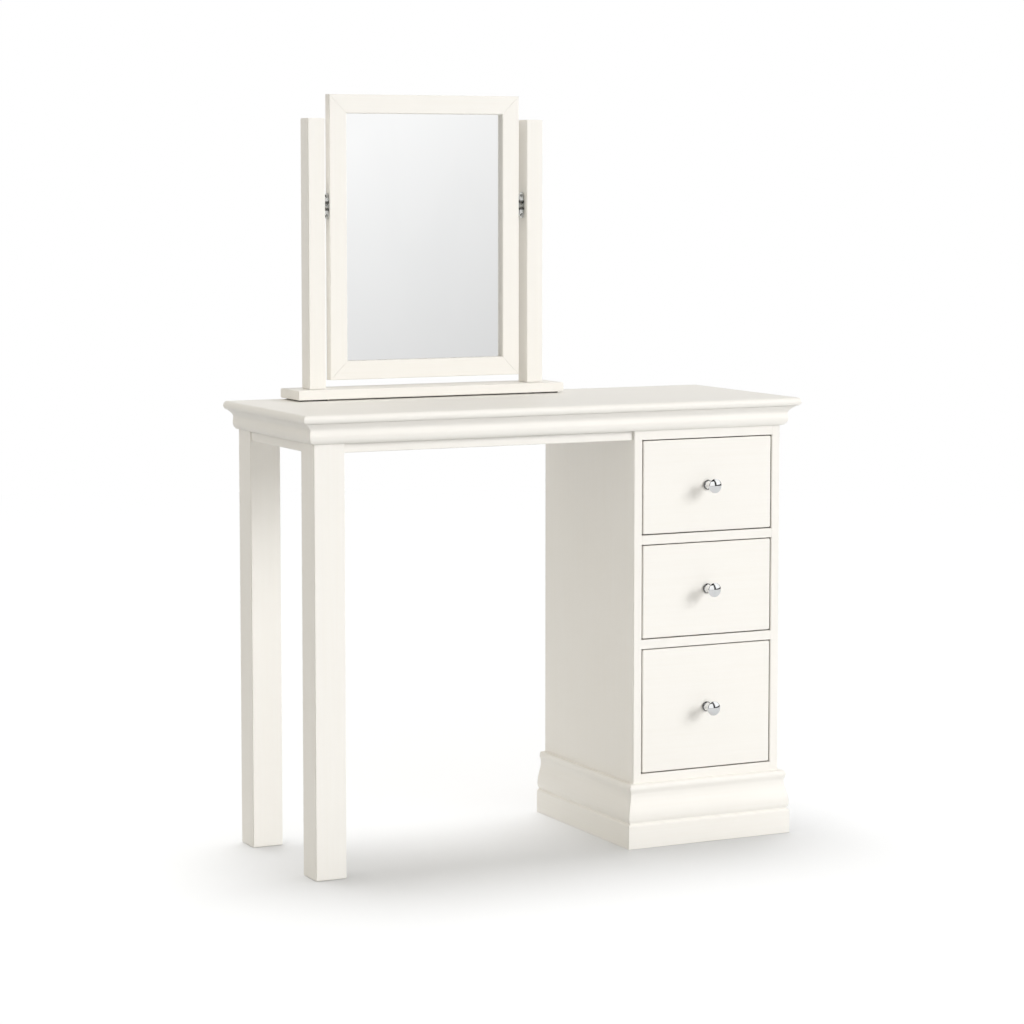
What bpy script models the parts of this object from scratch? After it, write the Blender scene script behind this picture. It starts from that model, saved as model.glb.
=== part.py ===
# Dressing table with a kneehole, one pedestal of drawers and a tilting mirror on a stand.
# Units are metres and +Z is up. The front faces -Y, and the origin is on the floor under
# the middle of the object's bounding box.

import math

import bmesh
import bpy
from mathutils import Matrix, Vector

# Table top, legs and aprons
TABLE_WIDTH = 0.950              # over the rounded ends of the top
FRAME_DEPTH = 0.343              # front face of a leg to the back face of a leg
TOP_THICKNESS = 0.015
TOP_OVERHANG = 0.028             # past the legs at the front and at both ends
TOP_BACK_OVERHANG = 0.001
LEG_SECTION = 0.0555
APRON_HEIGHT = 0.0515
APRON_THICKNESS = 0.018
APRON_FRONT_SETBACK = 0.004      # behind the front and back faces of the legs
APRON_END_SETBACK = 0.002        # behind the outer faces of the legs

# Pedestal
PEDESTAL_WIDTH = 0.294
BOARD_THICKNESS = 0.0165         # sides, rails and bottom
RAIL_DEPTH = 0.060
BACK_PANEL_THICKNESS = 0.005
BACK_PANEL_INSET = 0.008         # from the back edges of the sides
TOP_DRAWER_OPENING = 0.167
MIDDLE_DRAWER_OPENING = 0.167
BOTTOM_DRAWER_OPENING = 0.221

# Cornice under the top: ovolo, swell and cove, from the bottom up
CORNICE_PROJECTION = 0.021
OVOLO_PROJECTION = 0.011
OVOLO_HEIGHT = 0.0135
SWELL_HEIGHT = 0.009
CORNICE_WAIST = 0.010            # projection where the cove meets the swell
COVE_HEIGHT = 0.0125

# Plinth round the pedestal: block, quirk, torus, cyma, hollow and nose, from the floor up
PLINTH_PROJECTION = 0.0165
PLINTH_BLOCK_HEIGHT = 0.043
PLINTH_BLOCK_ROUND = 0.004
QUIRK_DEPTH = 0.0045
QUIRK_HEIGHT = 0.0025
TORUS_SWELL = 0.0033
TORUS_HEIGHT = 0.0095
CYMA_HEIGHT = 0.0395
CYMA_WAIST = 0.0083              # projection where the cyma is narrowest
HOLLOW_HEIGHT = 0.0105
NOSE_PROJECTION = 0.011
NOSE_HEIGHT = 0.007
NOSE_LEDGE = 0.007               # flat on top of the nose

# Drawers
DRAWER_FRONT_THICKNESS = 0.018
DRAWER_SIDE_THICKNESS = 0.012
DRAWER_BACK_THICKNESS = 0.012
DRAWER_BOTTOM_THICKNESS = 0.005
DRAWER_BOTTOM_RISE = 0.008       # lower edge of a side to the drawer's bottom
DRAWER_GROOVE_DEPTH = 0.005      # holds the drawer's bottom
FRONT_BELOW_BOX = 0.010          # the front reaches this far below the sides
FRONT_ABOVE_BOX = 0.024          # and this far above them
DRAWER_BACK_ROOM = 0.012         # free behind a closed drawer
RUNNER_HEIGHT = 0.016
RUNNER_WIDTH = 0.007

# Knobs
KNOB_PROJECTION = 0.032
KNOB_HEAD_DIAMETER = 0.026
KNOB_DOME_HEIGHT = 0.0065
KNOB_RIM_ROUND = 0.003
KNOB_FLANGE_DIAMETER = 0.0176
KNOB_FLANGE_THICKNESS = 0.003
KNOB_FLANGE_ROUND = 0.0015
KNOB_NECK_DIAMETER = 0.010

# Mirror stand
MIRROR_CENTRE_FROM_END = 0.3645  # left end of the top to the mirror's middle
STAND_BACK_INSET = 0.002         # back edge of the top to that of the stand
STAND_WIDTH = 0.516
STAND_DEPTH = 0.084
STAND_THICKNESS = 0.0165
PAD_THICKNESS = 0.002
PAD_WIDTH = 0.050
PAD_INSET = 0.008                # from the edges of the stand
POST_WIDTH = 0.032
POST_DEPTH = 0.034
POST_HEIGHT = 0.4715
POST_INSET = 0.0305              # end of the stand to the outer face of a post

# Mirror
MIRROR_LIFT = 0.0147             # top of the stand to the frame
MIRROR_HEIGHT = 0.4985
MEMBER_WIDTH = 0.033
INNER_CHAMFER = 0.0015
GLASS_SETBACK = 0.0095
GLASS_THICKNESS = 0.004
BACKBOARD_THICKNESS = 0.003
BACKBOARD_INSET = 0.0009         # from the back of the frame
REBATE_WIDTH = 0.008

# Pivots that the mirror tilts on
PIVOT_HEIGHT = 0.319             # above the top of the stand
PIVOT_ROOM = 0.0115              # post to frame
PLATE_LENGTH = 0.047
PLATE_WIDTH = 0.016
PLATE_THICKNESS = 0.002
BOSS_DIAMETER = 0.012
PIN_DIAMETER = 0.006

# Joints, fits and rounding
LEG_TENON = 0.018
TENON_SHARE = 0.4                # part of a board's thickness that a tenon enters
TENON_SHOULDER = 0.004
FIT_GAP = 0.0003                 # between pieces that touch
DRAWER_GAP = 0.002               # shadow line round a drawer front
SIDE_PLAY = 0.0015               # drawer side to pedestal side
RUNNER_PLAY = 0.0006             # under and beside a runner
PIN_PLAY = 0.00008               # round a pivot pin
EASE = 0.0012                    # rounding of painted edges
FINE_EASE = 0.0005               # rounding of thin and inner edges
WELD = 0.000003                  # points this close on a turned piece are one
SMOOTH_ANGLE = math.radians(35)
HIDDEN_STEPS = 1
SHOWN_STEPS = 2
CURVE_STEPS = 6
SMALL_CURVE_STEPS = 3
TURN_STEPS = 20

# Finishes: base colour, roughness and metallic value
FINISHES = {
    "paint": ((0.86, 0.845, 0.80), 0.40, 0.0),
    "drawer_wood": ((0.70, 0.55, 0.37), 0.55, 0.0),
    "fibreboard": ((0.42, 0.30, 0.19), 0.75, 0.0),
    "chrome": ((0.82, 0.82, 0.81), 0.06, 1.0),
    "steel": ((0.58, 0.57, 0.55), 0.30, 1.0),
    "mirror": ((0.90, 0.92, 0.91), 0.02, 1.0),
    "felt": ((0.06, 0.055, 0.05), 0.95, 0.0),
}

# Places across the width
left_x = -TABLE_WIDTH / 2 + TOP_OVERHANG
right_x = TABLE_WIDTH / 2 - TOP_OVERHANG
pedestal_x = right_x - PEDESTAL_WIDTH
bay_left = pedestal_x + BOARD_THICKNESS
bay_right = right_x - BOARD_THICKNESS
bay_middle = (bay_left + bay_right) / 2
mirror_x = -TABLE_WIDTH / 2 + MIRROR_CENTRE_FROM_END

# Places from front to back
front_reach = max(TOP_OVERHANG, KNOB_PROJECTION + FIT_GAP)
front_y = (front_reach - FRAME_DEPTH - TOP_BACK_OVERHANG) / 2
back_y = front_y + FRAME_DEPTH
middle_y = (front_y + back_y) / 2
panel_y = back_y - BACK_PANEL_INSET - BACK_PANEL_THICKNESS
stand_y = back_y + TOP_BACK_OVERHANG - STAND_BACK_INSET - STAND_DEPTH / 2

# Places up the height
torus_z = PLINTH_BLOCK_HEIGHT + QUIRK_HEIGHT + TORUS_HEIGHT
waist_z = torus_z + CYMA_HEIGHT
nose_z = waist_z + HOLLOW_HEIGHT
plinth_top = nose_z + NOSE_HEIGHT
bottom_top = plinth_top + BOARD_THICKNESS
lower_rail = bottom_top + BOTTOM_DRAWER_OPENING
upper_rail = lower_rail + BOARD_THICKNESS + MIDDLE_DRAWER_OPENING
apron_z = upper_rail + BOARD_THICKNESS + TOP_DRAWER_OPENING
under_top = apron_z + APRON_HEIGHT
seat_z = under_top - FIT_GAP
table_height = under_top + TOP_THICKNESS
stand_z = table_height + PAD_THICKNESS + 2 * FIT_GAP
stand_top = stand_z + STAND_THICKNESS

# Sizes that several pieces share
panel_tenon = BOARD_THICKNESS * TENON_SHARE
mirror_width = STAND_WIDTH - 2 * (POST_INSET + POST_WIDTH + PIVOT_ROOM)
mirror_depth = GLASS_SETBACK + GLASS_THICKNESS + BACKBOARD_THICKNESS + 2 * FIT_GAP + BACKBOARD_INSET
mirror_z = stand_top + MIRROR_LIFT + MIRROR_HEIGHT / 2
quarter = math.pi / 2

for old in list(bpy.data.objects):
    bpy.data.objects.remove(old, do_unlink=True)


# Building blocks


def empty(name, place):
    item = bpy.data.objects.new(name, None)
    item.location = place
    bpy.context.scene.collection.objects.link(item)
    return item


def material(name, finish):
    colour, roughness, metallic = FINISHES[finish]
    made = bpy.data.materials.new(name)
    made.use_nodes = True
    shader = made.node_tree.nodes["Principled BSDF"]
    shader.inputs["Base Color"].default_value = (*colour, 1.0)
    shader.inputs["Roughness"].default_value = roughness
    shader.inputs["Metallic"].default_value = metallic
    return made


def piece(name, shape, place, finish, parent, turn=(0.0, 0.0, 0.0)):
    # A finished bmesh becomes a named object, placed in the world under its parent.
    bmesh.ops.recalc_face_normals(shape, faces=shape.faces)
    mesh = bpy.data.meshes.new(name)
    shape.to_mesh(mesh)
    shape.free()
    mesh.shade_smooth()
    mesh.set_sharp_from_angle(angle=SMOOTH_ANGLE)
    mesh.materials.append(material(name, finish))
    item = bpy.data.objects.new(name, mesh)
    bpy.context.scene.collection.objects.link(item)
    item.parent = parent
    item.location = Vector(place) - parent.location
    item.rotation_euler = turn
    return item


def combine(target, shape, place, turn, operation):
    # Adds a shape to a piece, or cuts it away, with a guide that isn't part of the object.
    guide = piece(f"{target.name}_guide", shape, place, "steel", target.parent, turn)
    guide.hide_render = True
    guide.display_type = "WIRE"
    step = target.modifiers.new(operation.lower(), "BOOLEAN")
    step.object = guide
    step.operation = operation
    step.solver = "EXACT"


def block(size):
    shape = bmesh.new()
    bmesh.ops.create_cube(shape, size=1.0)
    bmesh.ops.scale(shape, vec=size, verts=shape.verts)
    return shape


def round_edges(shape, ease, steps):
    bmesh.ops.bevel(shape, geom=shape.edges[:], offset=ease, offset_type="OFFSET",
                    segments=steps, affect="EDGES", clamp_overlap=True)
    shape.normal_update()


def add_tenon(shape, direction, length, ease):
    end = max(shape.faces, key=lambda face: face.normal.dot(direction) * face.calc_area())
    bmesh.ops.inset_region(shape, faces=[end], thickness=TENON_SHOULDER - ease, use_even_offset=True)
    grown = bmesh.ops.extrude_discrete_faces(shape, faces=[end])["faces"][0]
    bmesh.ops.translate(shape, verts=grown.verts, vec=direction * length)


def board(name, low, high, finish, parent, ease=EASE, steps=HIDDEN_STEPS, tenons=()):
    # A squared board between two corners, with eased edges and tenons as (direction, length).
    shape = block(high - low)
    round_edges(shape, ease, steps)
    for direction, length in tenons:
        add_tenon(shape, Vector(direction), length, ease)
    return piece(name, shape, (low + high) / 2, finish, parent)


def tenon_box(low, high, direction, length):
    # Corners of the tenon that a board between low and high sends out along direction.
    shoulder = Vector((TENON_SHOULDER,) * 3)
    inner_low, inner_high = low + shoulder, high - shoulder
    for axis, way in enumerate(direction):
        if way > 0:
            inner_low[axis], inner_high[axis] = high[axis], high[axis] + length
        elif way < 0:
            inner_low[axis], inner_high[axis] = low[axis] - length, low[axis]
    return inner_low, inner_high


def house(target, low, high):
    # Cuts room in a piece for what lies between two corners.
    room = Vector((FIT_GAP,) * 3)
    size = high - low + 2 * room
    combine(target, block(size), (low + high) / 2, (0.0, 0.0, 0.0), "DIFFERENCE")


def arc(centre, radii, start, end, steps):
    # Points on an ellipse from one angle to another, in degrees.
    turns = [math.radians(start + (end - start) * step / steps) for step in range(steps + 1)]
    return [(centre[0] + radii[0] * math.cos(turn), centre[1] + radii[1] * math.sin(turn))
            for turn in turns]


def sweep(near, far, base_z, height, steps, turn=math.pi):
    # Points that go from one projection to another as they rise: an S, or half of one.
    points = []
    for step in range(1, steps + 1):
        along = step / steps
        share = (1 - math.cos(turn * along)) / (1 - math.cos(turn))
        points.append((near + (far - near) * share, base_z + height * along))
    return points


def bar(profile, half_run, mitres):
    # A profile of (out, up) points run along X. A mitre of 1 grows outwards, -1 inwards.
    shape = bmesh.new()
    ends = []
    for way, mitre in zip((-1, 1), mitres):
        reach = half_run - abs(mitre) * FIT_GAP / math.sqrt(2)
        ends.append([shape.verts.new((way * (reach + mitre * out), -out, up)) for out, up in profile])
    for here in range(len(profile)):
        shape.faces.new((ends[0][here - 1], ends[0][here], ends[1][here], ends[1][here - 1]))
    for end in ends:
        shape.faces.new(end)
    return shape


def extrusion(outline, depth):
    # A flat outline in X and Z, pushed along +Y.
    shape = bmesh.new()
    face = shape.faces.new([shape.verts.new((x, 0.0, z)) for x, z in outline])
    grown = bmesh.ops.extrude_face_region(shape, geom=[face])["geom"]
    moved = [item for item in grown if isinstance(item, bmesh.types.BMVert)]
    bmesh.ops.translate(shape, verts=moved, vec=(0.0, depth, 0.0))
    return shape


def turned(profile):
    # A profile of (radius, height) points spun about Z.
    shape = bmesh.new()
    points = [shape.verts.new((radius, 0.0, height)) for radius, height in profile]
    edges = [shape.edges.new(pair) for pair in zip(points, points[1:])]
    bmesh.ops.spin(shape, geom=points + edges, cent=(0, 0, 0), axis=(0, 0, 1),
                   angle=math.tau, steps=TURN_STEPS, use_merge=True)
    bmesh.ops.remove_doubles(shape, verts=shape.verts, dist=WELD)
    return shape


# Table top and mouldings


def make_top(table):
    # A slab whose front and ends are full half rounds, mitred at the corners.
    shape = bmesh.new()
    rounding = TOP_THICKNESS / 2
    half = TABLE_WIDTH / 2
    back = back_y + TOP_BACK_OVERHANG
    loops = []
    for inset, height in arc((rounding, 0.0), (-rounding, rounding), -90, 90, 2 * CURVE_STEPS):
        front = front_y - TOP_OVERHANG + inset
        corners = ((inset - half, front), (half - inset, front), (half - inset, back), (inset - half, back))
        loops.append([shape.verts.new((x, y, height)) for x, y in corners])
    for lower, upper in zip(loops, loops[1:]):
        for here in range(len(lower)):
            shape.faces.new((lower[here - 1], lower[here], upper[here], upper[here - 1]))
    shape.faces.new(loops[0])
    shape.faces.new(loops[-1])
    piece("table_top", shape, (0.0, 0.0, under_top + rounding), "paint", table)


def cornice_profile():
    cove_z = OVOLO_HEIGHT + SWELL_HEIGHT
    top_z = cove_z + COVE_HEIGHT
    points = arc((FIT_GAP, OVOLO_HEIGHT), (OVOLO_PROJECTION - FIT_GAP, OVOLO_HEIGHT), -90, 0, CURVE_STEPS)
    points += sweep(OVOLO_PROJECTION, CORNICE_WAIST, OVOLO_HEIGHT, SWELL_HEIGHT, SMALL_CURVE_STEPS)
    points += sweep(CORNICE_WAIST, CORNICE_PROJECTION, cove_z, COVE_HEIGHT, CURVE_STEPS, quarter)
    points.append((FIT_GAP, top_z))
    return [(out, up - top_z) for out, up in points]


def plinth_profile():
    block_z = PLINTH_BLOCK_HEIGHT - PLINTH_BLOCK_ROUND
    quirk = PLINTH_PROJECTION - QUIRK_DEPTH
    torus = quirk + TORUS_SWELL
    points = [(FIT_GAP, 0.0), (PLINTH_PROJECTION, 0.0)]
    points += arc((PLINTH_PROJECTION - PLINTH_BLOCK_ROUND, block_z), (PLINTH_BLOCK_ROUND,) * 2,
                  0, 90, SMALL_CURVE_STEPS)
    points += arc((quirk, torus_z), (TORUS_SWELL, TORUS_HEIGHT), -90, 0, SMALL_CURVE_STEPS)
    points += sweep(torus, CYMA_WAIST, torus_z, CYMA_HEIGHT, CURVE_STEPS)
    points += sweep(CYMA_WAIST, NOSE_PROJECTION, waist_z, HOLLOW_HEIGHT, SMALL_CURVE_STEPS)
    points += arc((NOSE_LEDGE, nose_z), (NOSE_PROJECTION - NOSE_LEDGE, NOSE_HEIGHT),
                  0, 90, SMALL_CURVE_STEPS)[1:]
    return points + [(FIT_GAP, plinth_top)]


def make_moulding(name, profile, start_x, z, table):
    # Strips on the front and both ends, mitred at the front corners.
    wide, deep = (right_x - start_x) / 2, FRAME_DEPTH / 2
    front_place = ((start_x + right_x) / 2, front_y, z)
    piece(f"{name}_front", bar(profile, wide, (1, 1)), front_place, "paint", table)
    left_place = (start_x, middle_y, z)
    piece(f"{name}_left", bar(profile, deep, (0, 1)), left_place, "paint", table, (0, 0, -quarter))
    right_place = (right_x, middle_y, z)
    piece(f"{name}_right", bar(profile, deep, (1, 0)), right_place, "paint", table, (0, 0, quarter))


# Legs, aprons and pedestal


def make_carcass(table):
    # Upright pieces first, then the boards that are tenoned between them.
    legs = {}
    for name, start_y in (("leg_front_left", front_y), ("leg_rear_left", back_y - LEG_SECTION)):
        low = Vector((left_x, start_y, 0.0))
        high = Vector((left_x + LEG_SECTION, start_y + LEG_SECTION, seat_z))
        legs[name] = board(name, low, high, "paint", table, steps=SHOWN_STEPS)
    sides = []
    for name, start_x in (("pedestal_side_left", pedestal_x), ("pedestal_side_right", bay_right)):
        low = Vector((start_x, front_y, 0.0))
        high = Vector((start_x + BOARD_THICKNESS, back_y, seat_z))
        sides.append(board(name, low, high, "paint", table, steps=SHOWN_STEPS))

    apron_left_x = left_x + LEG_SECTION + FIT_GAP
    apron_rear_y = back_y - APRON_FRONT_SETBACK - APRON_THICKNESS
    for name, start_y, leg in (("apron_front", front_y + APRON_FRONT_SETBACK, "leg_front_left"),
                               ("apron_rear", apron_rear_y, "leg_rear_left")):
        low = Vector((apron_left_x, start_y, apron_z))
        high = Vector((pedestal_x - FIT_GAP, start_y + APRON_THICKNESS, seat_z))
        ends = (((-1, 0, 0), LEG_TENON), ((1, 0, 0), panel_tenon))
        board(name, low, high, "paint", table, tenons=ends)
        for target, (direction, length) in zip((legs[leg], sides[0]), ends):
            house(target, *tenon_box(low, high, direction, length))

    low = Vector((left_x + APRON_END_SETBACK, front_y + LEG_SECTION + FIT_GAP, apron_z))
    high = Vector((low.x + APRON_THICKNESS, back_y - LEG_SECTION - FIT_GAP, seat_z))
    ends = (((0, -1, 0), LEG_TENON), ((0, 1, 0), LEG_TENON))
    board("apron_left", low, high, "paint", table, tenons=ends)
    for leg, (direction, length) in zip(legs.values(), ends):
        house(leg, *tenon_box(low, high, direction, length))

    # Boards across the pedestal: name, front, back, underside and top.
    rail_back = front_y + RAIL_DEPTH
    across = (
        ("rail_top", front_y, front_y + APRON_THICKNESS, apron_z, seat_z),
        ("rail_upper", front_y, rail_back, upper_rail, upper_rail + BOARD_THICKNESS),
        ("rail_lower", front_y, rail_back, lower_rail, lower_rail + BOARD_THICKNESS),
        ("pedestal_bottom", front_y, panel_y - FIT_GAP, plinth_top, bottom_top),
        ("plinth_rear", back_y - BOARD_THICKNESS, back_y, 0.0, plinth_top - FIT_GAP),
    )
    ends = (((-1, 0, 0), panel_tenon), ((1, 0, 0), panel_tenon))
    for name, near, far, under, over in across:
        low = Vector((bay_left + FIT_GAP, near, under))
        high = Vector((bay_right - FIT_GAP, far, over))
        board(name, low, high, "paint", table, ease=FINE_EASE, tenons=ends)
        for side, (direction, length) in zip(sides, ends):
            house(side, *tenon_box(low, high, direction, length))

    # The back slides down into a groove in each side.
    reach = panel_tenon - FIT_GAP
    low = Vector((bay_left - reach, panel_y, plinth_top))
    high = Vector((bay_right + reach, panel_y + BACK_PANEL_THICKNESS, seat_z))
    board("pedestal_back", low, high, "fibreboard", table, ease=FINE_EASE)
    for side in sides:
        house(side, low, high)


# Drawers


def knob_profile():
    flange, neck, head = KNOB_FLANGE_DIAMETER / 2, KNOB_NECK_DIAMETER / 2, KNOB_HEAD_DIAMETER / 2
    rim_z = KNOB_PROJECTION - KNOB_DOME_HEIGHT
    under_z = rim_z - KNOB_RIM_ROUND
    neck_z = (KNOB_FLANGE_THICKNESS + under_z) / 2
    flange_top = flange - KNOB_FLANGE_ROUND
    head_under = head - KNOB_RIM_ROUND
    points = [(0.0, 0.0), (flange, 0.0)]
    points += arc((flange_top, KNOB_FLANGE_THICKNESS - KNOB_FLANGE_ROUND), (KNOB_FLANGE_ROUND,) * 2,
                  0, 90, SMALL_CURVE_STEPS)
    points += arc((flange_top, neck_z), (flange_top - neck, neck_z - KNOB_FLANGE_THICKNESS),
                  270, 180, SMALL_CURVE_STEPS)[1:]
    points += arc((head_under, neck_z), (head_under - neck, under_z - neck_z),
                  180, 90, SMALL_CURVE_STEPS)[1:]
    points += arc((head_under, rim_z), (KNOB_RIM_ROUND,) * 2, -90, 0, SMALL_CURVE_STEPS)[1:]
    points += arc((0.0, rim_z), (head, KNOB_DOME_HEIGHT), 0, 90, CURVE_STEPS)[1:-1]
    return points + [(0.0, KNOB_PROJECTION)]


def make_drawer(label, floor_z, opening, table):
    slide = empty(f"drawer_{label}_slide", (bay_middle, front_y, floor_z + opening / 2))
    slide.parent = table
    front_back = front_y + DRAWER_FRONT_THICKNESS
    box_front, box_back = front_back + FIT_GAP, panel_y - DRAWER_BACK_ROOM
    low_z = floor_z + DRAWER_GAP + FRONT_BELOW_BOX
    high_z = floor_z + opening - DRAWER_GAP - FRONT_ABOVE_BOX
    runner_z = (low_z + high_z - RUNNER_HEIGHT) / 2
    bottom_z = low_z + DRAWER_BOTTOM_RISE
    bottom_over = bottom_z + DRAWER_BOTTOM_THICKNESS

    low = Vector((bay_left + DRAWER_GAP, front_y, floor_z + DRAWER_GAP))
    high = Vector((bay_right - DRAWER_GAP, front_back, floor_z + opening - DRAWER_GAP))
    front = board(f"drawer_{label}_front", low, high, "paint", slide, steps=SHOWN_STEPS)
    knob_place = (bay_middle, front_y - FIT_GAP, (low.z + high.z) / 2)
    piece(f"drawer_{label}_knob", turned(knob_profile()), knob_place, "chrome", slide, (quarter, 0, 0))

    # Each side has a groove outside for its runner and one inside for the drawer's bottom.
    thick = DRAWER_SIDE_THICKNESS
    runner_cut = FIT_GAP + RUNNER_WIDTH + RUNNER_PLAY - SIDE_PLAY
    bottom_cut = thick - DRAWER_GROOVE_DEPTH
    outline = (
        (0.0, low_z), (thick, low_z),
        (thick, bottom_z - FIT_GAP), (bottom_cut, bottom_z - FIT_GAP),
        (bottom_cut, bottom_over + FIT_GAP), (thick, bottom_over + FIT_GAP),
        (thick, high_z), (0.0, high_z),
        (0.0, runner_z + RUNNER_HEIGHT + FIT_GAP), (runner_cut, runner_z + RUNNER_HEIGHT + FIT_GAP),
        (runner_cut, runner_z - RUNNER_PLAY), (0.0, runner_z - RUNNER_PLAY),
    )
    for name, way, wall in (("left", 1, bay_left), ("right", -1, bay_right)):
        shape = extrusion([(way * x, z - low_z) for x, z in outline], box_back - box_front)
        place = (wall + way * SIDE_PLAY, box_front, low_z)
        piece(f"drawer_{label}_side_{name}", shape, place, "drawer_wood", slide)
        near, far = sorted((wall + way * FIT_GAP, wall + way * (FIT_GAP + RUNNER_WIDTH)))
        low = Vector((near, box_front, runner_z))
        high = Vector((far, panel_y - FIT_GAP, runner_z + RUNNER_HEIGHT))
        board(f"runner_{label}_{name}", low, high, "drawer_wood", table, ease=FINE_EASE)

    inner_left = bay_left + SIDE_PLAY + thick
    inner_right = bay_right - SIDE_PLAY - thick
    low = Vector((inner_left + FIT_GAP, box_back - DRAWER_BACK_THICKNESS, bottom_over + FIT_GAP))
    high = Vector((inner_right - FIT_GAP, box_back, high_z))
    board(f"drawer_{label}_back", low, high, "drawer_wood", slide, ease=FINE_EASE)
    reach = DRAWER_GROOVE_DEPTH - FIT_GAP
    low = Vector((inner_left - reach, front_back - reach, bottom_z))
    high = Vector((inner_right + reach, box_back, bottom_over))
    board(f"drawer_{label}_bottom", low, high, "drawer_wood", slide, ease=FINE_EASE)
    house(front, low, high)


# Mirror and its stand


def make_stand(table):
    half = STAND_WIDTH / 2
    low = Vector((mirror_x - half, stand_y - STAND_DEPTH / 2, stand_z))
    high = Vector((mirror_x + half, stand_y + STAND_DEPTH / 2, stand_top))
    base = board("mirror_stand_base", low, high, "paint", table, steps=SHOWN_STEPS)
    tenon = ((0, 0, -1), STAND_THICKNESS * TENON_SHARE)
    for name, way in (("left", -1), ("right", 1)):
        outer = mirror_x + way * (half - POST_INSET)
        near, far = sorted((outer, outer - way * POST_WIDTH))
        low = Vector((near, stand_y - POST_DEPTH / 2, stand_top + FIT_GAP))
        high = Vector((far, stand_y + POST_DEPTH / 2, stand_top + POST_HEIGHT))
        board(f"mirror_post_{name}", low, high, "paint", table, steps=SHOWN_STEPS, tenons=(tenon,))
        house(base, *tenon_box(low, high, *tenon))
        edge = mirror_x + way * (half - PAD_INSET)
        near, far = sorted((edge, edge - way * PAD_WIDTH))
        deep = STAND_DEPTH / 2 - PAD_INSET
        low = Vector((near, stand_y - deep, table_height + FIT_GAP))
        high = Vector((far, stand_y + deep, stand_z - FIT_GAP))
        board(f"stand_pad_{name}", low, high, "felt", table, ease=FINE_EASE)


def make_mirror(tilt):
    # Four mitred members with a rebate behind, which holds the glass and its backboard.
    profile = (
        (EASE, 0.0), (MEMBER_WIDTH - INNER_CHAMFER, 0.0), (MEMBER_WIDTH, INNER_CHAMFER),
        (MEMBER_WIDTH, GLASS_SETBACK), (MEMBER_WIDTH - REBATE_WIDTH, GLASS_SETBACK),
        (MEMBER_WIDTH - REBATE_WIDTH, mirror_depth), (EASE, mirror_depth),
        (0.0, mirror_depth - EASE), (0.0, EASE),
    )
    wide, tall = mirror_width / 2, MIRROR_HEIGHT / 2
    face_y = stand_y - mirror_depth / 2
    members = (("bottom", wide, tall), ("left", tall, wide), ("top", wide, tall), ("right", tall, wide))
    for count, (name, half_run, out) in enumerate(members):
        swing = Matrix.Rotation(count * quarter, 3, "Y") @ Vector((0.0, 0.0, -out))
        place = Vector((mirror_x, face_y, mirror_z)) + swing
        turn = (-quarter, count * quarter, 0)
        piece(f"mirror_frame_{name}", bar(profile, half_run, (-1, -1)), place, "paint", tilt, turn)
    margin = MEMBER_WIDTH - REBATE_WIDTH + FIT_GAP
    glass_y = face_y + GLASS_SETBACK + FIT_GAP
    backboard_y = glass_y + GLASS_THICKNESS + FIT_GAP
    sheets = (
        ("mirror_glass", glass_y, GLASS_THICKNESS, "mirror"),
        ("mirror_backboard", backboard_y, BACKBOARD_THICKNESS, "fibreboard"),
    )
    for name, start_y, thick, finish in sheets:
        low = Vector((mirror_x - wide + margin, start_y, mirror_z - tall + margin))
        high = Vector((mirror_x + wide - margin, start_y + thick, mirror_z + tall - margin))
        board(name, low, high, finish, tilt, ease=FINE_EASE)


def plate_shape():
    # An oblong plate with round ends, lying in X and Z.
    radius = PLATE_WIDTH / 2
    straight = PLATE_LENGTH / 2 - radius
    outline = arc((0.0, straight), (radius, radius), 0, 180, CURVE_STEPS)
    outline += arc((0.0, -straight), (radius, radius), 180, 360, CURVE_STEPS)
    shape = extrusion(outline, PLATE_THICKNESS)
    round_edges(shape, FINE_EASE, HIDDEN_STEPS)
    return shape


def make_pivots(table, tilt):
    # A bored plate on each post and a plate with a pin on each side of the mirror.
    boss = (PIVOT_ROOM - 2 * PLATE_THICKNESS - 3 * FIT_GAP) / 2
    root = PLATE_THICKNESS / 2
    boss_end = PLATE_THICKNESS + boss
    pin_end = boss_end + boss + PLATE_THICKNESS
    boss_radius, pin_radius = BOSS_DIAMETER / 2, PIN_DIAMETER / 2
    bore_radius = pin_radius + PIN_PLAY
    collar = [(0.0, root), (boss_radius, root), (boss_radius, boss_end), (0.0, boss_end)]
    bore = [(0.0, -root), (bore_radius, -root), (bore_radius, boss_end + root), (0.0, boss_end + root)]
    stub = collar[:3] + [(pin_radius, boss_end), (pin_radius, pin_end), (0.0, pin_end)]
    for name, way in (("left", -1), ("right", 1)):
        frame_face = mirror_x + way * (mirror_width / 2 + FIT_GAP)
        post_face = mirror_x + way * (mirror_width / 2 + PIVOT_ROOM - FIT_GAP)
        inward, outward = (0, 0, way * quarter), (0, 0, -way * quarter)
        fixed_place = (post_face, tilt.location.y, tilt.location.z)
        fixed = piece(f"pivot_plate_post_{name}", plate_shape(), fixed_place, "steel", table, inward)
        combine(fixed, turned(collar), fixed_place, (-quarter, 0, inward[2]), "UNION")
        combine(fixed, turned(bore), fixed_place, (-quarter, 0, inward[2]), "DIFFERENCE")
        moving_place = (frame_face, tilt.location.y, tilt.location.z)
        moving = piece(f"pivot_plate_mirror_{name}", plate_shape(), moving_place, "steel", tilt, outward)
        combine(moving, turned(stub), moving_place, (-quarter, 0, outward[2]), "UNION")


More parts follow.
